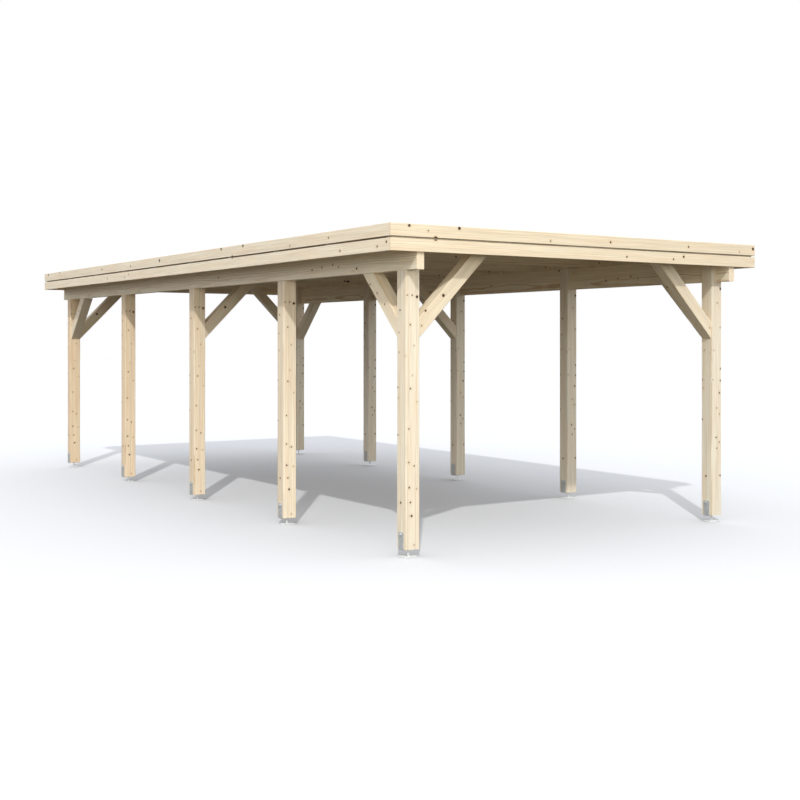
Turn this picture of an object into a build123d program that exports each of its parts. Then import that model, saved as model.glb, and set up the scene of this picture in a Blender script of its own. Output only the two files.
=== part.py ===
from build123d import *
import math
import os

# Open carport of planed spruce, flat roof, ten posts on steel post anchors.
# Millimetres. +Z is up, +Y runs from the front to the rear, X runs across the parking space.
# The origin lies on the ground under the middle of the roof.

# Main sizes: roof outline, its overhang past the posts, clear height under the long beams
roof_width = 3600
roof_length = 7620
side_overhang = 227
end_overhang = 155
clear_height = 1990

# Posts
post_size = 115
posts_per_side = 5
post_chamfer = 5
timber_foot_height = 56

# Long beams, seated in a notch of every post head
beam_thickness = 60
beam_height = 195
beam_chamfer = 3

# Knee braces
brace_size = 100
brace_foot_below_beam = 470
brace_chamfer = 3
cross_braced_posts = {0: "front", 2: "middle", 4: "rear"}

# Rafters on the long beams, evenly spaced, the first and last right behind the fascia
rafter_count = 10
rafter_thickness = 45
rafter_height = 80
end_rafter_height = 150

# Upright cleats at the rafter ends, which carry the side fascia
cleat_thickness = 25

# Tie beams from row to row, over the posts that have a brace across
tie_thickness = 100

# Fascia, two boards one above the other with a shadow gap
fascia_thickness = 20
fascia_board_height = 88
fascia_gap = 11
fascia_chamfer = 2
fascia_above_felt = 6.4

# Roof boards and felt
deck_thickness = 19
deck_board_pitch = 121
deck_groove_depth = 4
deck_groove_width = 8
felt_thickness = 4

# Steel post anchors
anchor_flange_width = 60
anchor_flange_height = 120
anchor_plate_thickness = 5
anchor_corner_radius = 8
anchor_rod_radius = 7
anchor_base_length = 110
anchor_base_width = 80
anchor_base_thickness = 5
anchor_base_corner = 6
anchor_hole_radius = 6
anchor_hole_inset = 15

# Clearance left between a seated piece and its seat
seat_gap = 0.3

# Positions that follow from the sizes above
half_width = roof_width / 2
half_length = roof_length / 2
inner_half_width = half_width - fascia_thickness
inner_half_length = half_length - fascia_thickness
row_outer = half_width - side_overhang
row_inner = row_outer - post_size
beam_inner = row_outer - beam_thickness
beam_top = clear_height + beam_height
brace_foot_height = clear_height - brace_foot_below_beam
rafter_top = beam_top + rafter_height
deck_bottom = rafter_top + seat_gap
felt_bottom = deck_bottom + deck_thickness + seat_gap
roof_height = felt_bottom + felt_thickness + fascia_above_felt
cleat_bottom = rafter_top - end_rafter_height
rafter_end = inner_half_width - cleat_thickness - 2 * seat_gap
post_span = roof_length - 2 * end_overhang - post_size
post_spacing = post_span / (posts_per_side - 1)
rafter_span = 2 * (inner_half_length - seat_gap) - rafter_thickness
rafter_spacing = rafter_span / (rafter_count - 1)


def post_y(index):
    """Middle of a post along Y, counted from the front."""
    return -post_span / 2 + index * post_spacing


def block(x_low, x_high, y_low, y_high, z_low, z_high):
    """Plain block between six planes."""
    size_x = x_high - x_low
    size_y = y_high - y_low
    size_z = z_high - z_low
    centre = ((x_low + x_high) / 2, (y_low + y_high) / 2, (z_low + z_high) / 2)
    return Pos(*centre) * Box(size_x, size_y, size_z)


def make_post(side, y):
    """Square post with a notched head: the inner part stands up as a tongue beside the beam."""
    x_faces = sorted((side * row_inner, side * row_outer))
    top = beam_top - seat_gap
    post = block(*x_faces, y - post_size / 2, y + post_size / 2, timber_foot_height, top)
    post = chamfer(post.edges().filter_by(Axis.Z), post_chamfer)
    tongue_face = side * (beam_inner - seat_gap)
    far_side = side * (row_outer + post_size)
    notch_x = sorted((tongue_face, far_side))
    seat = clear_height - seat_gap
    return post - block(*notch_x, y - post_size, y + post_size, seat, top + post_size)


def make_beam(side):
    """Long beam that lies on the shoulders of one row of posts."""
    x_faces = sorted((side * beam_inner, side * row_outer))
    end = inner_half_length - seat_gap
    beam = block(*x_faces, -end, end, clear_height, beam_top)
    return chamfer(beam.edges().filter_by(Axis.Y), beam_chamfer)


def brace_outline(plane, run, top):
    """Knee brace at 45 degrees drawn in a plane: foot cut upright, head cut level."""
    slope_cut = brace_size * math.sqrt(2)
    points = [
        (seat_gap, brace_foot_height),
        (seat_gap, brace_foot_height + slope_cut),
        (run - slope_cut, top),
        (run, top),
    ]
    wire = Polyline(*[plane.from_local_coords((s, z, 0)) for s, z in points], close=True)
    return extrude(make_face(wire), brace_size / 2, dir=plane.z_dir, both=True)


def soften_brace(brace):
    """Small chamfers along the four sloping edges."""
    long_edges = [edge for edge in brace.edges() if edge.length > 2.5 * brace_size]
    return chamfer(long_edges, brace_chamfer)


def make_brace_along(side, y, toward):
    """Brace in the plane of the row, from the post up to the underside of the beam."""
    x = side * (row_inner + row_outer) / 2
    face = y + toward * post_size / 2
    plane = Plane(origin=(x, face, 0), x_dir=(0, toward, 0), z_dir=(toward, 0, 0))
    top = clear_height - seat_gap
    return soften_brace(brace_outline(plane, top - brace_foot_height, top))


def make_brace_across(side, y):
    """Brace across the carport, from the post up to the underside of the tie beam."""
    plane = Plane(origin=(side * row_inner, y, 0), x_dir=(-side, 0, 0), z_dir=(0, side, 0))
    top = beam_top - seat_gap
    return soften_brace(brace_outline(plane, top - brace_foot_height, top))


def rafter_y(index):
    """Middle of a rafter along Y, counted from the front."""
    return -rafter_span / 2 + index * rafter_spacing


def make_inner_rafters():
    """Rafters that lie on edge on both long beams, between the cleats of the side fascia."""
    low = beam_top + seat_gap
    rafter = block(-rafter_end, rafter_end, -rafter_thickness / 2, rafter_thickness / 2, low, rafter_top)
    return Compound([Pos(0, rafter_y(index), 0) * rafter for index in range(1, rafter_count - 1)])


def make_end_rafters():
    """Taller rafters behind the front and rear fascia, notched over the long beams."""
    end = inner_half_width - seat_gap
    half = rafter_thickness / 2
    rafter = block(-end, end, -half, half, cleat_bottom, rafter_top)
    for side in (-1, 1):
        notch_x = sorted((side * (beam_inner - seat_gap), side * (row_outer + seat_gap)))
        rafter = rafter - block(*notch_x, -2 * half, 2 * half, clear_height, beam_top + seat_gap)
    return Compound([Pos(0, rafter_y(index), 0) * rafter for index in (0, rafter_count - 1)])


def make_fascia_cleats():
    """Upright cleat on both ends of every inner rafter, as thick along Y as the rafter."""
    half = rafter_thickness / 2
    cleats = []
    for side in (-1, 1):
        x_faces = sorted((side * (rafter_end + seat_gap), side * (inner_half_width - seat_gap)))
        cleat = block(*x_faces, -half, half, cleat_bottom, rafter_top)
        cleats += [Pos(0, rafter_y(index), 0) * cleat for index in range(1, rafter_count - 1)]
    return Compound(cleats)


def make_tie_beam(y):
    """Cross beam over a pair of posts, between the outer faces of the long beams."""
    y_faces = (y - tie_thickness / 2, y + tie_thickness / 2)
    return block(-row_outer, row_outer, *y_faces, beam_top + seat_gap, rafter_top)


def make_roof_deck():
    """Roof boards laid lengthwise, with a V groove below at every joint."""
    end_x = inner_half_width - seat_gap
    end_y = inner_half_length - seat_gap
    deck = block(-end_x, end_x, -end_y, end_y, deck_bottom, deck_bottom + deck_thickness)
    mouth = deck_bottom - 1
    half = deck_groove_width / 2
    points = ((-half, -half_length, mouth), (0, -half_length, deck_bottom + deck_groove_depth),
              (half, -half_length, mouth))
    groove = extrude(make_face(Polyline(*points, close=True)), roof_length, dir=(0, 1, 0))
    joints = int(end_x // deck_board_pitch)
    return deck - [Pos(n * deck_board_pitch, 0, 0) * groove for n in range(-joints, joints + 1)]


def make_roof_felt():
    """Felt sheet on the deck, cut to the inside of the fascia."""
    end_x = inner_half_width - seat_gap
    end_y = inner_half_length - seat_gap
    return block(-end_x, end_x, -end_y, end_y, felt_bottom, felt_bottom + felt_thickness)


def fascia_levels():
    """Lower and upper board, each as bottom and top height."""
    upper_bottom = roof_height - fascia_board_height
    lower_top = upper_bottom - fascia_gap
    return ((lower_top - fascia_board_height, lower_top), (upper_bottom, roof_height))


def make_end_fascia(sign):
    """Two boards across the front or rear that cover the ends of the side boards."""
    y_faces = sorted((sign * inner_half_length, sign * half_length))
    boards = [block(-half_width, half_width, *y_faces, *level) for level in fascia_levels()]
    return Compound([chamfer(b.edges().filter_by(Axis.X), fascia_chamfer) for b in boards])


def make_side_fascia(side):
    """Two boards along one side, between the end boards."""
    x_faces = sorted((side * inner_half_width, side * half_width))
    end = inner_half_length - seat_gap
    boards = [block(*x_faces, -end, end, *level) for level in fascia_levels()]
    return Compound([chamfer(b.edges().filter_by(Axis.Y), fascia_chamfer) for b in boards])


def make_anchor(side, y):
    """Welded anchor: base plate with four holes, round rod, and a stirrup that holds the post."""
    x = side * (row_inner + row_outer) / 2
    base = Pos(0, 0, anchor_base_thickness / 2) * Box(
        anchor_base_length, anchor_base_width, anchor_base_thickness)
    base = chamfer(base.edges().filter_by(Axis.Z), anchor_base_corner)
    hole = Cylinder(anchor_hole_radius, 4 * anchor_base_thickness)
    spacing_x = anchor_base_length - 2 * anchor_hole_inset
    spacing_y = anchor_base_width - 2 * anchor_hole_inset
    base = base - [place * hole for place in GridLocations(spacing_x, spacing_y, 2, 2)]
    saddle_top = timber_foot_height - seat_gap
    saddle_bottom = saddle_top - anchor_plate_thickness
    rod_height = saddle_bottom - anchor_base_thickness
    rod_middle = anchor_base_thickness + rod_height / 2
    rod = Pos(0, 0, rod_middle) * Cylinder(anchor_rod_radius, rod_height)
    inside = post_size / 2 + seat_gap
    outside = inside + anchor_plate_thickness
    half_flange = anchor_flange_width / 2
    flange_top = saddle_top + anchor_flange_height
    stirrup = block(-outside, outside, -half_flange, half_flange, saddle_bottom, flange_top)
    stirrup = stirrup - block(-inside, inside, -anchor_flange_width, anchor_flange_width,
                              saddle_top, flange_top + anchor_flange_height)
    top_corners = stirrup.edges().filter_by(Axis.X).group_by(Axis.Z)[-1]
    stirrup = fillet(top_corners, anchor_corner_radius)
    folds = stirrup.edges().filter_by(Axis.Y).group_by(Axis.Z)[0]
    stirrup = fillet(folds, anchor_plate_thickness * 0.8)
    return Pos(x, y, 0) * (base + rod + stirrup)


def write_part(name, shape):
    """One STEP file per node."""
    shape.label = name
    export_step(shape, f"parts/{name}.step")


os.makedirs("parts", exist_ok=True)

for side, side_name in ((-1, "left"), (1, "right")):
    write_part(f"beam_{side_name}", make_beam(side))
    write_part(f"fascia_{side_name}", make_side_fascia(side))
    for index in range(posts_per_side):
        number = index + 1
        write_part(f"post_{side_name}_{number}", make_post(side, post_y(index)))
        write_part(f"anchor_{side_name}_{number}", make_anchor(side, post_y(index)))
    for index, place in cross_braced_posts.items():
        brace = make_brace_across(side, post_y(index))
        write_part(f"cross_brace_{side_name}_{place}", brace)
    write_part(f"row_brace_{side_name}_front", make_brace_along(side, post_y(0), 1))
    last = posts_per_side - 1
    write_part(f"row_brace_{side_name}_rear", make_brace_along(side, post_y(last), -1))

write_part("fascia_front", make_end_fascia(-1))
write_part("fascia_rear", make_end_fascia(1))
write_part("inner_rafters", make_inner_rafters())
write_part("end_rafters", make_end_rafters())
write_part("fascia_cleats", make_fascia_cleats())
for index, place in cross_braced_posts.items():
    write_part(f"tie_beam_{place}", make_tie_beam(post_y(index)))
write_part("roof_deck", make_roof_deck())
write_part("roof_felt", make_roof_felt())
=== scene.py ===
import math
import random

import bpy
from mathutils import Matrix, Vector


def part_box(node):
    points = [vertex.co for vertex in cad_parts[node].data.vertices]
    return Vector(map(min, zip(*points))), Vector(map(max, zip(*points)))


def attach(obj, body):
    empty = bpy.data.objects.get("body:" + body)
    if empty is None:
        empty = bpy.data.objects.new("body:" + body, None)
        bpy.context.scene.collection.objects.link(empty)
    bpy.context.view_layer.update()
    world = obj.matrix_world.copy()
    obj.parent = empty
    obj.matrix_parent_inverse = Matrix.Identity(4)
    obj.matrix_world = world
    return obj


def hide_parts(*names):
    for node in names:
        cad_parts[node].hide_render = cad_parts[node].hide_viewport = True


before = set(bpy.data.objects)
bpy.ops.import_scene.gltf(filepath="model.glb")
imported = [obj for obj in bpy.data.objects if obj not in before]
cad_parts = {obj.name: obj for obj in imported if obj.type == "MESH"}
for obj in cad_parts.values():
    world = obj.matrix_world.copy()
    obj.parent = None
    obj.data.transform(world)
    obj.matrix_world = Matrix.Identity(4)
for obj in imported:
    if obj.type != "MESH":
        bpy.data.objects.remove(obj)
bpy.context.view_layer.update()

scene = bpy.context.scene


# Viewpoint: at eye height in front of the left front corner, looking along the carport. Place, turn
# and lens were fitted to the photo. The camera is level, and its frame is shifted down instead of
# tilted, so upright posts stay upright.
camera_place = (-6.2017, -10.6497, 1.5044)
camera_turn = (math.radians(90), 0, math.radians(-33.216))
bpy.ops.object.select_all(action="DESELECT")
bpy.ops.object.camera_add(location=camera_place, rotation=camera_turn)
camera = bpy.context.object
camera.data.sensor_width = 36
camera.data.lens = 54.7286
camera.data.shift_y = -0.07448
camera.data.clip_end = 200
scene.camera = camera
scene.view_settings.view_transform = "Standard"


# Light: one lamp high on the front left, a wide, soft and slightly warm one near the camera that fades
# towards the rear, and an even pale surround that fills the shade. The surround shows plain white.
def srgb(code, alpha=1.0):
    """Linear colour of an sRGB hex value."""
    parts = [int(code[i:i + 2], 16) / 255 for i in (1, 3, 5)]
    linear = [p / 12.92 if p <= 0.04045 else ((p + 0.055) / 1.055) ** 2.4 for p in parts]
    return (*linear, alpha)


def add(tree, kind, inputs=None, **settings):
    """Adds one node, sets it up, and fills its sockets with values or with links from other nodes."""
    made = tree.nodes.new(kind)
    for name, value in settings.items():
        setattr(made, name, value)
    for key, value in (inputs or {}).items():
        if isinstance(value, bpy.types.Node):
            value = value.outputs[0]
        if isinstance(value, bpy.types.NodeSocket):
            tree.links.new(value, made.inputs[key])
        else:
            made.inputs[key].default_value = value
    return made


key_aim = Vector((0.69, 0.98, -1.0))
soft_aim = Vector((0.46, 0.88, -0.2))

bpy.ops.object.light_add(type="SUN", location=(-8, -12, 11))
key_lamp = bpy.context.object
key_lamp.name = "key_lamp"
key_lamp.rotation_euler = key_aim.to_track_quat("-Z", "Y").to_euler()
key_lamp.data.energy = 1.78
key_lamp.data.angle = math.radians(1.2)

bpy.ops.object.light_add(type="AREA", location=(-4.4, -9.2, 2.4))
soft_lamp = bpy.context.object
soft_lamp.name = "soft_lamp"
soft_lamp.rotation_euler = soft_aim.to_track_quat("-Z", "Y").to_euler()
soft_lamp.data.size = 2.5
soft_lamp.data.energy = 98
soft_lamp.data.color = (1.0, 0.94, 0.72)
soft_lamp.visible_camera = False

surround = bpy.data.worlds.new("surround")
surround.use_nodes = True
scene.world = surround
tree = surround.node_tree
tree.nodes.clear()
rays = add(tree, "ShaderNodeLightPath")
seen = add(tree, "ShaderNodeMath", {
    0: rays.outputs["Is Camera Ray"], 1: rays.outputs["Is Glossy Ray"]}, operation="MAXIMUM")
seen = add(tree, "ShaderNodeMath", {
    0: seen, 1: rays.outputs["Is Transmission Ray"]}, operation="MAXIMUM")
fill = add(tree, "ShaderNodeBackground", {"Color": srgb("#F4F8FF"), "Strength": 1.29})
white = add(tree, "ShaderNodeBackground", {"Color": (1, 1, 1, 1), "Strength": 1.0})
both = add(tree, "ShaderNodeMixShader", {0: seen, 1: fill, 2: white})
add(tree, "ShaderNodeOutputWorld", {"Surface": both})


# Floor: a plain pale studio floor, a millimetre below the base plates. It sends little light back up,
# as paving would, so that the underside of the roof stays dark, but looks pale and keeps the shadow.
floor_width = 160
floor_level = -0.001
bpy.ops.object.select_all(action="DESELECT")
bpy.ops.mesh.primitive_plane_add(size=floor_width, location=(0, 0, floor_level))
floor = bpy.context.object
floor.name = "floor"
paint = bpy.data.materials.new("matt_pale_floor")
paint.use_nodes = True
tree = paint.node_tree
tree.nodes.clear()
rays = add(tree, "ShaderNodeLightPath")
pale = add(tree, "ShaderNodeBsdfDiffuse", {"Color": (0.66, 0.66, 0.66, 1)})
dull = add(tree, "ShaderNodeBsdfDiffuse", {"Color": srgb("#5C5852")})
both = add(tree, "ShaderNodeMixShader", {0: rays.outputs["Is Camera Ray"], 1: dull, 2: pale})
add(tree, "ShaderNodeOutputMaterial", {"Surface": both})
floor.data.materials.append(paint)


# Post anchors: a flat base plate, a round rod and a folded stirrup, cut from 5 mm steel,
# welded, then dipped in molten zinc. One stands under every post and holds it between two flanges.
def hot_dip_galvanised_steel(name, dark, light, painted_light_below=0.0):
    """Steel dipped in zinc: a dull silver skin that froze in flat crystals, each with its own sheen.

    dark and light are the ends of its range of greys. Below the height given last, the colour is
    painted nearly white and made less metallic: painted light on the base plate and rod."""
    material = bpy.data.materials.new(name)
    material.use_nodes = True
    tree = material.node_tree
    tree.nodes.clear()
    coords = add(tree, "ShaderNodeTexCoord").outputs["Object"]
    # Zinc crystals of about 9 mm, with uneven borders.
    bend = add(tree, "ShaderNodeTexNoise", {"Vector": coords, "Scale": 60.0, "Detail": 2.0})
    bend = add(tree, "ShaderNodeVectorMath", {
        0: bend.outputs["Color"], 1: (0.008, 0.008, 0.008), 2: coords}, operation="MULTIPLY_ADD")
    crystal = add(tree, "ShaderNodeTexVoronoi", {"Vector": bend, "Scale": 110.0})
    value = add(tree, "ShaderNodeSeparateColor", {0: crystal.outputs["Color"]})
    cloud = add(tree, "ShaderNodeTexNoise", {"Vector": coords, "Scale": 18.0, "Detail": 4.0})
    tone = add(tree, "ShaderNodeMath", {0: value.outputs[0], 1: 0.5, 2: 0.15},
               operation="MULTIPLY_ADD")
    tone = add(tree, "ShaderNodeMath", {0: cloud.outputs["Fac"], 1: 0.6, 2: tone},
               operation="MULTIPLY_ADD")
    colour = add(tree, "ShaderNodeMix", {0: tone, 6: srgb(dark), 7: srgb(light)}, data_type="RGBA")
    # Painted light: near the ground the colour is painted nearly white, and there it is less metallic.
    height = add(tree, "ShaderNodeSeparateXYZ", {0: coords})
    painted_light = add(tree, "ShaderNodeMapRange", {
        0: height.outputs[2], 1: painted_light_below, 2: painted_light_below + 0.001, 3: 0.85, 4: 0.0})
    colour = add(tree, "ShaderNodeMix", {0: painted_light, 6: colour.outputs[2], 7: srgb("#F6F6F4")},
                 data_type="RGBA")
    metal = add(tree, "ShaderNodeMath", {0: painted_light, 1: -0.4, 2: 0.4}, operation="MULTIPLY_ADD")
    rough = add(tree, "ShaderNodeMapRange", {0: value.outputs[1], 3: 0.4, 4: 0.58})
    bump = add(tree, "ShaderNodeBump", {
        "Strength": 0.25, "Distance": 0.0004, "Height": cloud.outputs["Fac"]})
    skin = add(tree, "ShaderNodeBsdfPrincipled", {
        "Base Color": colour.outputs[2], "Metallic": metal, "Roughness": rough, "Normal": bump})
    add(tree, "ShaderNodeOutputMaterial", {"Surface": skin})
    return material


def dress(names, material):
    """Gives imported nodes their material."""
    for name in names:
        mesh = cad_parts[name].data
        mesh.materials.clear()
        mesh.materials.append(material)


sides = ("left", "right")
posts = range(1, 6)
plate_top = 0.005
saddle_bottom = 0.0507
# Below the stirrup the anchors are painted nearly white, as painted light on the base plates and rods.
zinc = hot_dip_galvanised_steel("hot_dip_galvanised_anchors", "#A2A7A8", "#CFD2D1",
                                painted_light_below=saddle_bottom - 0.0003)
dress([f"anchor_{side}_{n}" for side in sides for n in posts], zinc)


# Weld beads: a bead of weld runs round each rod where it meets the base plate, and another where it
# meets the stirrup. Arc welded steel, a little uneven, under the same zinc as the anchor.
def keep_only(piece):
    """Makes one piece the selected and active one."""
    bpy.ops.object.select_all(action="DESELECT")
    piece.select_set(True)
    bpy.context.view_layer.objects.active = piece


def settle(piece, name, material):
    """Names a finished piece, puts its place in its mesh, and hands it over."""
    keep_only(piece)
    bpy.ops.object.transform_apply(location=True, rotation=True, scale=True)
    piece.name = name
    piece.data.name = name
    piece.data.materials.clear()
    piece.data.materials.append(material)
    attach(piece, "root")


def copies(master, places):
    """Copies of a piece, each with its own mesh, joined to one. A place is a point and three angles."""
    made = []
    for point, angles in places:
        keep_only(master)
        bpy.ops.object.duplicate()
        copy = bpy.context.object
        copy.location = point
        copy.rotation_euler = [math.radians(a) for a in angles]
        made.append(copy)
    for copy in made:
        copy.select_set(True)
    bpy.ops.object.join()
    return bpy.context.object


def choose_faces(piece, wanted):
    """Goes into edit mode with the faces selected for which wanted(middle, normal) holds."""
    bpy.ops.object.mode_set(mode="EDIT")
    bpy.ops.mesh.select_mode(type="FACE")
    bpy.ops.mesh.select_all(action="DESELECT")
    bpy.ops.object.mode_set(mode="OBJECT")
    for face in piece.data.polygons:
        face.select = bool(wanted(face.center, face.normal))
    bpy.ops.object.mode_set(mode="EDIT")


bead_radius = 0.012
bead_edge = 0.0012
bead_steps = ((0.0016, 0.0016), (0.0016, 0.0014), (0.0014, 0.0006))
unevenness = 0.0004
bpy.ops.object.select_all(action="DESELECT")
bpy.ops.mesh.primitive_cylinder_add(vertices=24, radius=bead_radius, depth=bead_edge,
                                    location=(0, 0, bead_edge / 2))
bead = bpy.context.object
choose_faces(bead, lambda middle, normal: normal.z > 0.9)
for inwards, upwards in bead_steps:
    bpy.ops.mesh.inset(thickness=inwards)
    bpy.ops.transform.translate(value=(0, 0, upwards))
bpy.ops.object.mode_set(mode="OBJECT")
bpy.ops.object.transform_apply(location=True)
dice = random.Random(5)
for vertex in bead.data.vertices:
    if vertex.co.z > 0.001:
        vertex.co += Vector([dice.uniform(-unevenness, unevenness) for _ in range(3)])
bpy.ops.object.shade_smooth_by_angle(angle=math.radians(50))
for side in sides:
    for n in posts:
        low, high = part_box(f"anchor_{side}_{n}")
        x, y = (low.x + high.x) / 2, (low.y + high.y) / 2
        pair = copies(bead, [((x, y, plate_top), (0, 0, 0)), ((x, y, saddle_bottom), (180, 0, 0))])
        settle(pair, f"weld_beads_{side}_{n}", zinc)
keep_only(bead)
bpy.ops.object.delete()


# Coach screws: one galvanised M10 screw with a hexagon head and a washer holds each flange of the
# stirrup to its post. The zinc is thinner than on the anchors and catches a little more light.
washer_radius, washer_height = 0.0105, 0.0025
head_radius, head_height = 0.0092, 0.007
washer_rim, washer_rise = 0.0005, 0.0003
head_bevel, head_rim, head_dip = 0.0011, 0.0006, 0.0003
flange_face = 0.0053
screw_below_top = 0.018
screw_zinc = hot_dip_galvanised_steel("hot_dip_galvanised_screws", "#ABB0B1", "#D2D5D4")
bpy.ops.mesh.primitive_cylinder_add(vertices=32, radius=washer_radius, depth=washer_height,
                                    location=(0, 0, washer_height / 2))
washer = bpy.context.object
choose_faces(washer, lambda middle, normal: normal.z > 0.9)
bpy.ops.mesh.inset(thickness=washer_rim)
bpy.ops.transform.translate(value=(0, 0, washer_rise))
bpy.ops.object.mode_set(mode="OBJECT")
bpy.ops.object.select_all(action="DESELECT")
bpy.ops.mesh.primitive_cylinder_add(vertices=6, radius=head_radius, depth=head_height,
                                    location=(0, 0, washer_height + head_height / 2))
head = bpy.context.object
choose_faces(head, lambda middle, normal: normal.z > 0.9)
bpy.ops.mesh.bevel(offset=head_bevel, segments=2)
choose_faces(head, lambda middle, normal: normal.z > 0.999)
bpy.ops.mesh.inset(thickness=head_rim)
bpy.ops.transform.translate(value=(0, 0, -head_dip))
bpy.ops.object.mode_set(mode="OBJECT")
washer.select_set(True)
bpy.ops.object.join()
coach_screw = bpy.context.object
bpy.ops.object.transform_apply(location=True)
for side in sides:
    for n in posts:
        low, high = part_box(f"anchor_{side}_{n}")
        post_low, post_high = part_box(f"post_{side}_{n}")
        y, z = (low.y + high.y) / 2, high.z - screw_below_top
        pair = copies(coach_screw, [((post_low.x - flange_face, y, z), (0, -90, 0)),
                                    ((post_high.x + flange_face, y, z), (0, 90, 0))])
        settle(pair, f"coach_screws_{side}_{n}", screw_zinc)
keep_only(coach_screw)
bpy.ops.object.delete()


# Posts: square spruce posts of 115 mm, sawn, planed and chamfered, untreated. The grain runs upright.
# Their heads are notched to a shoulder for the long beam.
def planed_spruce(name, turn, pitch, phase, centre, heart, fold="", knots=(), knots_repeat=False,
                  drift=0.03, painted_falloff=None, gap=None, pale="#EBDEC3"):
    """Planed untreated spruce. Pale early wood and thin darker late wood lie in rings round a heart
    beside the piece, so faces show fine lines or arched figure, and ends show arcs.

    turn brings the grain upright. pitch and phase tell neighbouring pieces apart, so that each gets
    its own figure, and centre is the middle of the group. heart is where the rings' middle lies, and
    drift is how far it lies elsewhere from piece to piece. With fold the pieces mirror each other
    across X or across X and Y. knots are points on the faces with a radius, and with knots_repeat
    all pieces along Y share them. painted_falloff is a slope and a start: pieces further along it are
    painted darker and browner, as painted light that fades with distance, and there their front
    faces are painted lighter than their sides.
    gap is the height of a slot between boards; its two board edges are painted dark, as painted shade.
    pale is the early wood."""
    material = bpy.data.materials.new(name)
    material.use_nodes = True
    tree = material.node_tree
    tree.nodes.clear()
    coords = add(tree, "ShaderNodeTexCoord").outputs["Object"]
    placed = add(tree, "ShaderNodeVectorMath", {0: coords, 1: centre}, operation="SUBTRACT")
    steps = add(tree, "ShaderNodeVectorMath", {0: placed, 1: [1 / p for p in pitch], 2: phase},
                operation="MULTIPLY_ADD")
    index = add(tree, "ShaderNodeVectorMath", {0: steps}, operation="FLOOR")
    chance = add(tree, "ShaderNodeTexWhiteNoise", {"Vector": index}, noise_dimensions="3D")
    chances = add(tree, "ShaderNodeSeparateColor", {0: chance.outputs["Color"]})
    local = add(tree, "ShaderNodeVectorMath", {0: steps}, operation="FRACTION")
    local = add(tree, "ShaderNodeVectorMath", {0: local, 1: (0.5, 0.5, 0.5)}, operation="SUBTRACT")
    local = add(tree, "ShaderNodeVectorMath", {0: local, 1: pitch}, operation="MULTIPLY")
    if fold:
        mirrored = add(tree, "ShaderNodeVectorMath", {0: coords}, operation="ABSOLUTE")
        mirrored = add(tree, "ShaderNodeVectorMath", {0: mirrored, 1: centre}, operation="SUBTRACT")
        mirrored = add(tree, "ShaderNodeSeparateXYZ", {0: mirrored})
        inside = add(tree, "ShaderNodeSeparateXYZ", {0: local})
        sideways = mirrored if fold == "xy" else inside
        local = add(tree, "ShaderNodeCombineXYZ", {
            0: mirrored.outputs[0], 1: sideways.outputs[1], 2: mirrored.outputs[2]})
    upright = [math.radians(a) for a in turn]
    grain = add(tree, "ShaderNodeMapping", {"Vector": local, "Rotation": upright})
    # Each piece comes from its own stretch of trunk.
    trunk = add(tree, "ShaderNodeVectorMath", {
        0: chance.outputs["Color"], 1: (3.1, 5.3, 9.7), 2: grain}, operation="MULTIPLY_ADD")

    # Knots at given places on the faces, and others scattered over the faces that look away.
    # near is the distance to the nearest knot's rim, in metres.
    scattered = add(tree, "ShaderNodeMapping", {"Vector": trunk, "Scale": (9.5, 9.5, 7.0)})
    scattered = add(tree, "ShaderNodeTexVoronoi", {"Vector": scattered, "Scale": 1.0})
    sizes = add(tree, "ShaderNodeSeparateColor", {0: scattered.outputs["Color"]})
    width = add(tree, "ShaderNodeMapRange", {0: sizes.outputs[0], 3: -0.12, 4: 0.11}, clamp=False)
    near = add(tree, "ShaderNodeMath", {0: scattered.outputs["Distance"], 1: width},
               operation="SUBTRACT")
    near = add(tree, "ShaderNodeMath", {0: near, 1: 0.105}, operation="MULTIPLY")
    facing = add(tree, "ShaderNodeNewGeometry").outputs["Normal"]
    if knots:
        front = add(tree, "ShaderNodeVectorMath", {0: facing, 1: (-0.55, -0.84, 0)},
                    operation="DOT_PRODUCT")
        front = add(tree, "ShaderNodeMath", {0: front.outputs["Value"], 1: 0.3},
                    operation="GREATER_THAN")
        near = add(tree, "ShaderNodeMath", {0: front, 1: near}, operation="ADD")
        here = coords
        if knots_repeat:
            world = add(tree, "ShaderNodeSeparateXYZ", {0: coords})
            inside = add(tree, "ShaderNodeSeparateXYZ", {0: local})
            here = add(tree, "ShaderNodeCombineXYZ", {
                0: world.outputs[0], 1: inside.outputs[1], 2: world.outputs[2]})
        for x, y, z, radius in knots:
            away = add(tree, "ShaderNodeVectorMath", {0: here, 1: (x, y, z)}, operation="DISTANCE")
            away = add(tree, "ShaderNodeMath", {0: away.outputs["Value"], 1: radius},
                       operation="SUBTRACT")
            near = add(tree, "ShaderNodeMath", {0: near, 1: away}, operation="MINIMUM")
    ragged = add(tree, "ShaderNodeTexNoise", {"Vector": coords, "Scale": 260.0, "Detail": 1.0})
    near = add(tree, "ShaderNodeMath", {0: ragged.outputs["Fac"], 1: 0.003, 2: near},
               operation="MULTIPLY_ADD")
    # A knot blurs over 2.5 mm, and the grain around it, its eye, is bent out to 22 mm.
    knot = add(tree, "ShaderNodeMapRange", {0: near, 1: 0.0, 2: 0.0025, 3: 1.0, 4: 0.0},
               interpolation_type="SMOOTHSTEP")
    eye = add(tree, "ShaderNodeMapRange", {0: near, 1: 0.0, 2: 0.022, 3: 1.0, 4: 0.0},
              interpolation_type="SMOOTHERSTEP")

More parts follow.
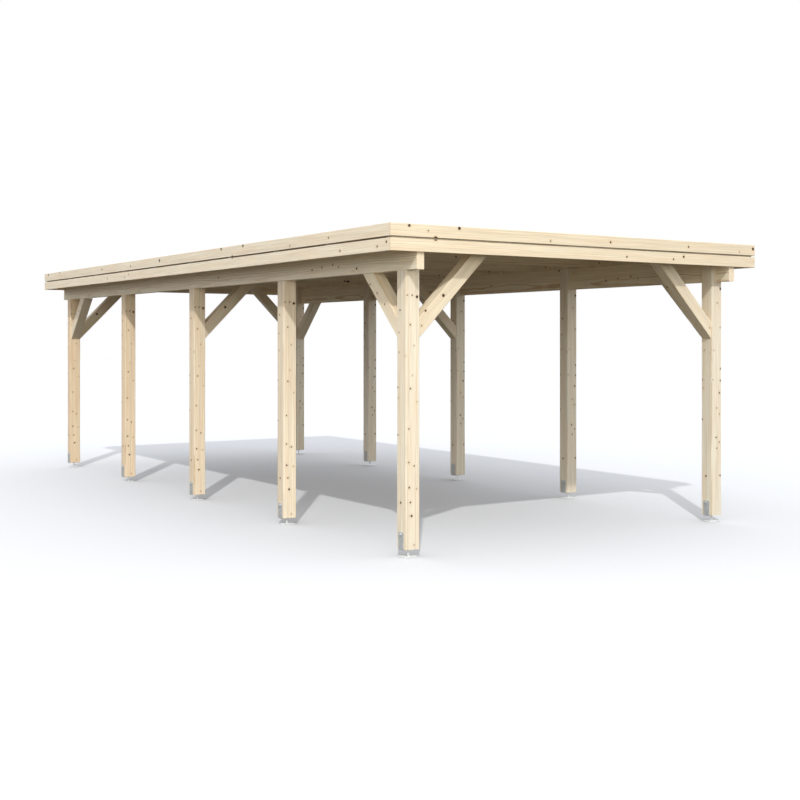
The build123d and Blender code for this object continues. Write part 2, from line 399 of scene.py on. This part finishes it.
    # The trunk wanders by a few millimetres over a metre. radius is the distance from its heart.
    sway = add(tree, "ShaderNodeMapping", {"Vector": trunk, "Scale": (3.0, 3.0, 0.8)})
    sway = add(tree, "ShaderNodeTexNoise", {"Vector": sway, "Scale": 1.0, "Detail": 3.0})
    sway = add(tree, "ShaderNodeVectorMath", {0: sway.outputs["Color"], 1: (0.5, 0.5, 0.5)},
               operation="SUBTRACT")
    bent = add(tree, "ShaderNodeVectorMath", {0: sway, 1: (0.03, 0.03, 0.0), 2: grain},
               operation="MULTIPLY_ADD")
    middle = add(tree, "ShaderNodeVectorMath", {
        0: chance.outputs["Color"], 1: (drift, drift, 0.0),
        2: (heart[0] - drift / 2, heart[1] - drift / 2, 0.0)}, operation="MULTIPLY_ADD")
    across = add(tree, "ShaderNodeVectorMath", {0: bent, 1: middle}, operation="SUBTRACT")
    across = add(tree, "ShaderNodeVectorMath", {0: across, 1: (1.0, 1.0, 0.0)}, operation="MULTIPLY")
    radius = add(tree, "ShaderNodeVectorMath", {0: across}, operation="LENGTH").outputs["Value"]

    # Rings, twice the usual width so that they show in a picture of the whole, and pushed aside
    # around a knot. Late wood is a thin line at the end of a ring, stronger in some years.
    ring_width = 0.006
    count = add(tree, "ShaderNodeMath", {0: radius, 1: 1 / ring_width}, operation="MULTIPLY")
    count = add(tree, "ShaderNodeMath", {0: eye, 1: 1.0, 2: count}, operation="MULTIPLY_ADD")
    within = add(tree, "ShaderNodeMath", {0: count}, operation="FRACT")
    ring = add(tree, "ShaderNodeMath", {0: count}, operation="FLOOR")
    year = add(tree, "ShaderNodeTexWhiteNoise", {"W": ring}, noise_dimensions="1D")
    year = add(tree, "ShaderNodeMapRange", {0: year.outputs["Value"], 3: 0.1, 4: 1.0})
    rise = add(tree, "ShaderNodeMapRange", {0: within, 1: 0.55, 2: 0.92},
               interpolation_type="SMOOTHSTEP")
    fall = add(tree, "ShaderNodeMapRange", {0: within, 1: 0.93, 2: 1.0, 3: 1.0, 4: 0.0})
    line = add(tree, "ShaderNodeMath", {0: rise, 1: fall}, operation="MULTIPLY")
    line = add(tree, "ShaderNodeMath", {0: line, 1: year}, operation="MULTIPLY")

    # Fibres of about 8 mm by 300 mm, drawn coarser than real ones so that they show, and broad
    # patches where the wood is a little warmer.
    fibres = add(tree, "ShaderNodeMapping", {"Vector": trunk, "Scale": (130.0, 130.0, 3.0)})
    fibres = add(tree, "ShaderNodeTexNoise", {"Vector": fibres, "Scale": 1.0, "Detail": 4.0})
    patches = add(tree, "ShaderNodeMapping", {"Vector": trunk, "Scale": (26.0, 26.0, 2.4)})
    patches = add(tree, "ShaderNodeTexNoise", {"Vector": patches, "Scale": 1.0, "Detail": 3.0})
    colour = add(tree, "ShaderNodeMix", {0: line, 6: srgb(pale), 7: srgb("#BA996B")},
                 data_type="RGBA")
    warm = add(tree, "ShaderNodeMapRange", {
        0: patches.outputs["Fac"], 1: 0.4, 2: 0.75, 3: 0.0, 4: 0.35})
    colour = add(tree, "ShaderNodeMix", {0: warm, 6: colour.outputs[2], 7: srgb("#DEBD97")},
                 data_type="RGBA")
    # Painted light: pieces further along the slope are painted darker and browner, as light that fades
    # with distance.
    if painted_falloff:
        slope, start = painted_falloff
        along = add(tree, "ShaderNodeVectorMath", {0: coords, 1: slope}, operation="DOT_PRODUCT")
        along = add(tree, "ShaderNodeMapRange", {0: along.outputs["Value"], 1: start, 2: start + 1})
        colour = add(tree, "ShaderNodeMix", {0: along, 6: colour.outputs[2], 7: (0.95, 0.84, 0.72, 1)},
                     data_type="RGBA", blend_type="MULTIPLY")
    tone = add(tree, "ShaderNodeMath", {0: chances.outputs[0], 1: 0.04, 2: 0.75},
               operation="MULTIPLY_ADD")
    tone = add(tree, "ShaderNodeMath", {0: fibres.outputs["Fac"], 1: 0.48, 2: tone},
               operation="MULTIPLY_ADD")
    if painted_falloff:
        # Painted light: where a piece lies further along, its front faces are painted 18 % lighter than
        # its sides.
        painted_front_light = add(tree, "ShaderNodeVectorMath", {0: facing, 1: (0, -1, 0)},
                     operation="DOT_PRODUCT")
        painted_front_light = add(tree, "ShaderNodeMath", {0: painted_front_light.outputs["Value"], 1: 0.5},
                     operation="GREATER_THAN")
        beyond = add(tree, "ShaderNodeMath", {0: along, 1: 0.2}, operation="GREATER_THAN")
        painted_front_light = add(tree, "ShaderNodeMath", {0: painted_front_light, 1: beyond}, operation="MULTIPLY")
        painted_front_light = add(tree, "ShaderNodeMath", {0: painted_front_light, 1: 0.18, 2: 1.0}, operation="MULTIPLY_ADD")
        tone = add(tree, "ShaderNodeMath", {0: tone, 1: painted_front_light}, operation="MULTIPLY")
    if gap:
        # Painted shade: the two board edges, the only faces within 6.2 mm of the slot's middle, are
        # painted 80 % darker.
        height = add(tree, "ShaderNodeSeparateXYZ", {0: coords})
        painted_slot_shade = add(tree, "ShaderNodeMath", {0: height.outputs[2], 1: gap, 2: 0.0062},
                   operation="COMPARE")
        painted_slot_shade = add(tree, "ShaderNodeMath", {0: painted_slot_shade, 1: -0.8, 2: 1.0}, operation="MULTIPLY_ADD")
        tone = add(tree, "ShaderNodeMath", {0: tone, 1: painted_slot_shade}, operation="MULTIPLY")
    colour = add(tree, "ShaderNodeHueSaturation", {"Color": colour.outputs[2], "Value": tone})

    # End grain drinks more light.
    if fold:
        facing = add(tree, "ShaderNodeVectorMath", {0: facing}, operation="ABSOLUTE")
    facing = add(tree, "ShaderNodeMapping", {"Vector": facing, "Rotation": upright},
                 vector_type="NORMAL")
    facing = add(tree, "ShaderNodeSeparateXYZ", {0: facing})
    end = add(tree, "ShaderNodeMath", {0: facing.outputs[2]}, operation="ABSOLUTE")
    end = add(tree, "ShaderNodeMapRange", {0: end, 1: 0.8, 2: 0.95, 3: 0.0, 4: 0.08})
    colour = add(tree, "ShaderNodeMix", {0: end, 6: colour, 7: srgb("#C79B62")}, data_type="RGBA")

    # A knot is a branch cut across: dark, with its own fine rings, in a warmer surround.
    halo = add(tree, "ShaderNodeMath", {0: eye, 1: 0.22}, operation="MULTIPLY")
    colour = add(tree, "ShaderNodeMix", {0: halo, 6: colour.outputs[2], 7: srgb("#C69762")},
                 data_type="RGBA")
    branch = add(tree, "ShaderNodeMath", {0: near, 1: 0.0014}, operation="PINGPONG")
    branch = add(tree, "ShaderNodeMath", {0: branch, 1: 350.0}, operation="MULTIPLY")
    branch = add(tree, "ShaderNodeMix", {0: branch, 6: srgb("#2A1C0C"), 7: srgb("#5A4022")},
                 data_type="RGBA")
    colour = add(tree, "ShaderNodeMix", {0: knot, 6: colour.outputs[2], 7: branch.outputs[2]},
                 data_type="RGBA")
    height = add(tree, "ShaderNodeMath", {0: line, 1: 0.5, 2: fibres.outputs["Fac"]},
                 operation="MULTIPLY_ADD")
    bump = add(tree, "ShaderNodeBump", {"Strength": 0.2, "Distance": 0.0006, "Height": height})
    rough = add(tree, "ShaderNodeMapRange", {0: line, 3: 0.66, 4: 0.55})
    wood = add(tree, "ShaderNodeBsdfPrincipled", {
        "Base Color": colour.outputs[2], "Roughness": rough, "Normal": bump})
    add(tree, "ShaderNodeOutputMaterial", {"Surface": wood})
    return material


row = 1.5155
half_post = 0.0575
post_pitch = 1.79875
# Knots on the front faces of the left posts and of the right posts: offset from the middle of the
# face, height, radius.
left_front = ((-0.046, 1.817, 0.0046), (-0.006, 1.817, 0.0054), (0.0345, 1.807, 0.0105),
              (-0.021, 1.613, 0.0052), (0.01, 1.468, 0.0035), (-0.002, 1.263, 0.0026),
              (-0.021, 1.171, 0.0063), (0.0345, 1.078, 0.003), (-0.0335, 0.893, 0.0055),
              (-0.0335, 0.661, 0.0055),
              (0.0115, 0.635, 0.0059), (-0.031, 0.487, 0.0071), (0.031, 0.475, 0.0035),
              (-0.021, 0.384, 0.0065), (-0.01, 0.29, 0.0085), (0.01, 0.087, 0.004))
right_front = ((0.044, 1.932, 0.0103), (0.01, 1.815, 0.0049), (0.041, 1.613, 0.0052),
               (-0.031, 1.422, 0.0035), (0.044, 1.269, 0.0067), (-0.045, 1.179, 0.0039),
               (0.043, 1.171, 0.0071), (0.032, 1.069, 0.0078), (0.0, 0.944, 0.0052),
               (0.03, 0.893, 0.0048), (-0.007, 0.701, 0.0077), (0.03, 0.661, 0.0055),
               (0.0, 0.611, 0.0059), (0.041, 0.383, 0.0071))
# Knots on the left-hand faces of all posts: offset along Y, height, radius.
left_faces = ((0.025, 1.422, 0.0039), (-0.045, 1.397, 0.0025), (0.037, 1.106, 0.0032),
              (0.045, 0.847, 0.0058), (0.0075, 0.378, 0.0082), (0.016, 1.714, 0.0072),
              (0.045, 1.177, 0.0053), (0.029, 1.56, 0.0039))
post_knots = [(-row + x, -half_post, z, r) for x, z, r in left_front]
post_knots += [(row + x, -half_post, z, r) for x, z, r in right_front]
post_knots += [(middle - half_post, y, z, r) for middle in (-row, row) for y, z, r in left_faces]
# The left posts are painted darker and browner towards the rear, and there their front faces lighter
# than their sides: painted light.
post_wood = planed_spruce("planed_spruce_posts", turn=(0, 0, 0), pitch=(2 * row, post_pitch, 20),
                          phase=(0, 0.5, 0.5), centre=(0, 0, 1.1), heart=(0.13, 0.13),
                          knots=post_knots, knots_repeat=True, painted_falloff=((-1.0, 0.139, 0), 0.95),
                          pale="#EBE1CB")
dress([f"post_{side}_{n}" for side in sides for n in posts], post_wood)


# Long beams: two planed spruce planks on edge, 60 x 195 mm, one on each row. They lie in the
# shoulders of the post heads, flush with the outer faces of the posts.
beam_knots = [(x, y, z, r) for x in (-1.573, 1.513) for y, z, r in (
    (-0.60, 2.072, 0.0075), (-2.327, 2.053, 0.008), (-2.482, 2.066, 0.007), (-2.65, 2.078, 0.007),
    (-2.735, 2.058, 0.006))]
beam_knots += [(-1.573, -3.0, 2.032, 0.0095), (1.513, -1.672, 2.176, 0.01)]
beam_wood = planed_spruce("planed_spruce_long_beams", turn=(90, 0, 0), pitch=(3.086, 20, 20),
                          phase=(0, 0.5, 0.5), centre=(0, 0, 2.0875), heart=(0.15, 0.07),
                          knots=beam_knots, pale="#F0E3C8")
dress(["beam_left", "beam_right"], beam_wood)


# Knee braces: 100 mm square spruce, planed and cut at 45 degrees, one along the row at each corner
# post and one across at the first, middle and last posts. The grain follows the slope.
row_knots = [(-1.5655, end * y, z, 0.0065) for end in (-1, 1)
             for y, z in ((3.371, 1.761), (3.269, 1.843), (3.174, 1.910))]
row_brace_wood = planed_spruce("planed_spruce_row_braces", turn=(-45, 0, 0), pitch=(2 * row, 4, 20),
                               phase=(0, 0, 0.5), centre=(row, 3.305, 1.826), heart=(0.12, 0.12),
                               fold="xy", knots=row_knots)
dress([f"row_brace_{side}_{end}" for side in sides for end in ("front", "rear")], row_brace_wood)

braced_pitch = 2 * post_pitch
cross_knots = [(-1.251, y, 1.821, 0.012) for y in (-3.6475, -0.05, 3.5475)]
cross_knots += [(-1.403, -3.6475, 1.713, 0.009), (-1.438, -3.6475, 1.608, 0.005),
                (1.438, -3.6475, 1.608, 0.005), (1.041, -3.5598, 1.9367, 0.007)]
cross_brace_wood = planed_spruce("planed_spruce_cross_braces", turn=(0, 45, 0),
                                 pitch=(4, braced_pitch, 20), phase=(0, 0.5, 0.5),
                                 centre=(1.161, 0, 1.888), heart=(0.12, 0.12), fold="x",
                                 knots=cross_knots)
dress([f"cross_brace_{side}_{place}" for side in sides for place in ("front", "middle", "rear")],
      cross_brace_wood)


# Tie beams, rafters and the cleats at the rafter ends: planed spruce, on edge across the long beams.
# The cleats stand upright, are screwed to the rafter ends and carry the side fascia.
rafter_pitch = 0.837156
tie_wood = planed_spruce("planed_spruce_tie_beams", turn=(0, -90, 0), pitch=(20, braced_pitch, 20),
                         phase=(0.5, 0.5, 0.5), centre=(0, 0, 2.225), heart=(0.06, 0.12),
                         knots=((1.24, -0.05, 2.194, 0.006),))
dress([f"tie_beam_{place}" for place in ("front", "middle", "rear")], tie_wood)
rafter_wood = planed_spruce("planed_spruce_rafters", turn=(0, -90, 0), pitch=(20, rafter_pitch, 20),
                            phase=(0.5, 0, 0.5), centre=(0, 0, 2.19), heart=(0.06, 0.12),
                            knots=((1.371, 2.0704, 2.227, 0.02), (1.325, 2.0704, 2.230, 0.016),
                                   (1.604, -0.4411, 2.230, 0.007), (-0.035, -2.1154, 2.229, 0.007),
                                   (1.674, -1.2782, 2.234, 0.006), (1.621, -2.1154, 2.232, 0.006)))
dress(["inner_rafters", "end_rafters"], rafter_wood)
# The cleats' early wood is painted paler than the other timber, as painted light, so that they show as
# bright spots through the side fascia's shadow gap.
cleat_wood = planed_spruce("planed_spruce_cleats", turn=(0, 0, 0), pitch=(3.535, rafter_pitch, 20),
                           phase=(0, 0, 0.5), centre=(0, 0, 2.19), heart=(0.06, 0.12), pale="#FAF2E0")
dress(["fascia_cleats"], cleat_wood)


# Roof deck: tongue and groove spruce boards, 121 mm wide, nailed on top of the rafters along the
# carport, with a V groove at each joint below.
deck_wood = planed_spruce("planed_spruce_roof_boards", turn=(90, 0, 0), pitch=(0.121, 20, 20),
                          phase=(0, 0.5, 0.5), centre=(0, 0, 2.275), heart=(0.0, 0.09))
dress(["roof_deck"], deck_wood)


# Roof covering: bitumen felt with a crushed slate face, in four lengths about a metre wide, a little
# thinner than the solid they replace. Each laps over the one beside it, and clout nails hold the laps.
def slate_faced_felt():
    """Bitumen sheet with fine dark stone chips rolled in: matt, speckled, a little uneven in tone."""
    material = bpy.data.materials.new("slate_faced_felt")
    material.use_nodes = True
    tree = material.node_tree
    tree.nodes.clear()
    coords = add(tree, "ShaderNodeTexCoord").outputs["Object"]
    # Chips of about 2 mm.
    chips = add(tree, "ShaderNodeTexVoronoi", {"Vector": coords, "Scale": 500.0})
    chip = add(tree, "ShaderNodeSeparateColor", {0: chips.outputs["Color"]})
    drift = add(tree, "ShaderNodeTexNoise", {"Vector": coords, "Scale": 1.3, "Detail": 5.0})
    tone = add(tree, "ShaderNodeMath", {0: chip.outputs[0], 1: 0.6, 2: -0.05},
               operation="MULTIPLY_ADD")
    tone = add(tree, "ShaderNodeMath", {0: drift.outputs["Fac"], 1: 0.5, 2: tone},
               operation="MULTIPLY_ADD")
    colour = add(tree, "ShaderNodeMix", {0: tone, 6: srgb("#2B2D30"), 7: srgb("#6A6D70")},
                 data_type="RGBA")
    bump = add(tree, "ShaderNodeBump", {
        "Strength": 0.6, "Distance": 0.001, "Height": chips.outputs["Distance"]})
    felt = add(tree, "ShaderNodeBsdfPrincipled", {
        "Base Color": colour.outputs[2], "Roughness": 0.92, "Normal": bump})
    add(tree, "ShaderNodeOutputMaterial", {"Surface": felt})
    return material


felt = slate_faced_felt()
felt_low, felt_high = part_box("roof_felt")
felt_thickness = felt_high.z - felt_low.z
felt_lap = 0.08
felt_step = 0.014
felt_count = 4
felt_crests = (0.4, 0.68)
felt_bays = 19
felt_wave = 0.0012
cut_error = 0.003
felt_share = 0.96
felt_cover = (felt_high.x - felt_low.x - felt_lap) / felt_count
dice = random.Random(11)
lengths = []
for number in range(felt_count):
    start = felt_low.x + number * felt_cover
    end = start + felt_cover + felt_lap
    bpy.ops.object.select_all(action="DESELECT")
    bpy.ops.mesh.primitive_cube_add(size=1, location=(0, 0, 0))
    length = bpy.context.object
    length.dimensions = (end - start, felt_high.y - felt_low.y, felt_thickness * felt_share)
    length.location = ((start + end) / 2, 0, felt_low.z + felt_thickness / 2)
    bpy.ops.object.transform_apply(location=True, rotation=True, scale=True)
    bpy.ops.object.mode_set(mode="EDIT")
    # Cuts on both sides of the step at the lap, at two crests, and across every 0.4 m.
    for x in (start + felt_lap, start + felt_lap + felt_step, *(start + c for c in felt_crests)):
        bpy.ops.mesh.select_all(action="SELECT")
        bpy.ops.mesh.bisect(plane_co=(x, 0, felt_low.z), plane_no=(1, 0, 0))
    for cut in range(1, felt_bays):
        y = felt_low.y + cut * (felt_high.y - felt_low.y) / felt_bays
        bpy.ops.mesh.select_all(action="SELECT")
        bpy.ops.mesh.bisect(plane_co=(0, y, felt_low.z), plane_no=(0, 1, 0))
    bpy.ops.object.mode_set(mode="OBJECT")
    waves = {}
    for vertex in length.data.vertices:
        x, y = round(vertex.co.x, 3), round(vertex.co.y, 3)
        inner = felt_low.y + 0.01 < y < felt_high.y - 0.01
        # The lap lies on the length beside it.
        if number and x < start + felt_lap + 0.002:
            vertex.co.z += felt_thickness
        # Slight waves at the two crests.
        if inner and start + 0.3 < x < end - 0.1:
            vertex.co.z += waves.setdefault((x, y), dice.uniform(0.0, felt_wave))
        # The knife wandered along the lap.
        if inner and number and x < start + 0.01:
            vertex.co.x += waves.setdefault((x, y), dice.uniform(-cut_error, cut_error))
    lengths.append(length)
bpy.ops.object.select_all(action="DESELECT")
for length in lengths:
    length.select_set(True)
bpy.context.view_layer.objects.active = lengths[0]
bpy.ops.object.join()
settle(lengths[0], "roofing_felt_lengths", felt)
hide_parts("roof_felt")


# Clout nails: galvanised nails with wide flat heads, driven by hand along every lap of the felt, so
# they stand a little out of line. Only the heads show.
nail_head_radius, nail_head_height = 0.005, 0.0009
nail_rim, nail_dome = 0.001, 0.0003
nail_from_edge, nail_first, nail_spacing = 0.025, 0.11, 0.15
nail_wander = 0.003
nail_count = 50
bpy.ops.object.select_all(action="DESELECT")
bpy.ops.mesh.primitive_cylinder_add(vertices=12, radius=nail_head_radius, depth=nail_head_height,
                                    location=(0, 0, nail_head_height / 2))
nail = bpy.context.object
choose_faces(nail, lambda middle, normal: normal.z > 0.9)
bpy.ops.mesh.inset(thickness=nail_rim)
bpy.ops.transform.translate(value=(0, 0, nail_dome))
bpy.ops.object.mode_set(mode="OBJECT")
bpy.ops.object.transform_apply(location=True)
for number in range(1, felt_count):
    x = felt_low.x + number * felt_cover + nail_from_edge
    y = felt_low.y + nail_first
    top = felt_high.z + felt_thickness
    places = [((x + dice.uniform(-nail_wander, nail_wander), y + n * nail_spacing, top), (0, 0, 0))
              for n in range(nail_count)]
    settle(copies(nail, places), f"clout_nails_{number}", zinc)
keep_only(nail)
bpy.ops.object.delete()


# Fascia: two planed spruce boards of 20 x 88 mm all round the roof edge, one above the other, with a
# shadow gap between them. The end boards cover the ends of the side boards.
gap_middle = 2.2015
board_pitch = 0.099
side_knots = [(-1.8, y, z, r) for y, z, r in (
    (-1.145, 2.283, 0.0125), (-1.566, 2.283, 0.0125), (-2.386, 2.229, 0.0065), (-2.978, 2.249, 0.0075),
    (3.666, 2.279, 0.0125), (3.232, 2.283, 0.01), (1.82, 2.251, 0.01), (0.984, 2.245, 0.009),
    (0.231, 2.261, 0.0145), (-1.365, 2.2025, 0.0145), (-3.143, 2.144, 0.008), (-3.643, 2.144, 0.0076),
    (-3.759, 2.168, 0.0088), (1.651, 2.146, 0.007), (1.149, 2.142, 0.0063), (1.041, 2.168, 0.0075))]
# The edges of the shadow gap in the side boards are painted dark: painted shade.
side_board_wood = planed_spruce("planed_spruce_side_fascia", turn=(90, 0, 0),
                                pitch=(3.58, 20, board_pitch), phase=(0, 0.5, 0),
                                centre=(0, 0, gap_middle), heart=(0.03, 0.1), drift=0.05,
                                knots=side_knots, gap=gap_middle, pale="#E9DDC5")
dress(["fascia_left", "fascia_right"], side_board_wood)
end_knots = [(x, -3.81, z, r) for x, z, r in (
    (-1.648, 2.281, 0.0106), (-1.492, 2.253, 0.0053), (-1.23, 2.283, 0.0118), (-0.406, 2.231, 0.0057),
    (0.186, 2.249, 0.0084), (1.022, 2.249, 0.0076), (1.612, 2.231, 0.0044), (1.778, 2.263, 0.013),
    (-1.43, 2.2025, 0.016), (0.354, 2.144, 0.0077), (0.854, 2.144, 0.0075), (0.968, 2.168, 0.0102))]
# The edges of the shadow gap in the end boards are painted dark: painted shade.
end_board_wood = planed_spruce("planed_spruce_end_fascia", turn=(0, -90, 0),
                               pitch=(20, 7.6, board_pitch), phase=(0.5, 0, 0),
                               centre=(0, 0, gap_middle), heart=(0.1, 0.03), drift=0.05,
                               knots=end_knots, gap=gap_middle, pale="#E8DABE")
dress(["fascia_front", "fascia_rear"], end_board_wood)
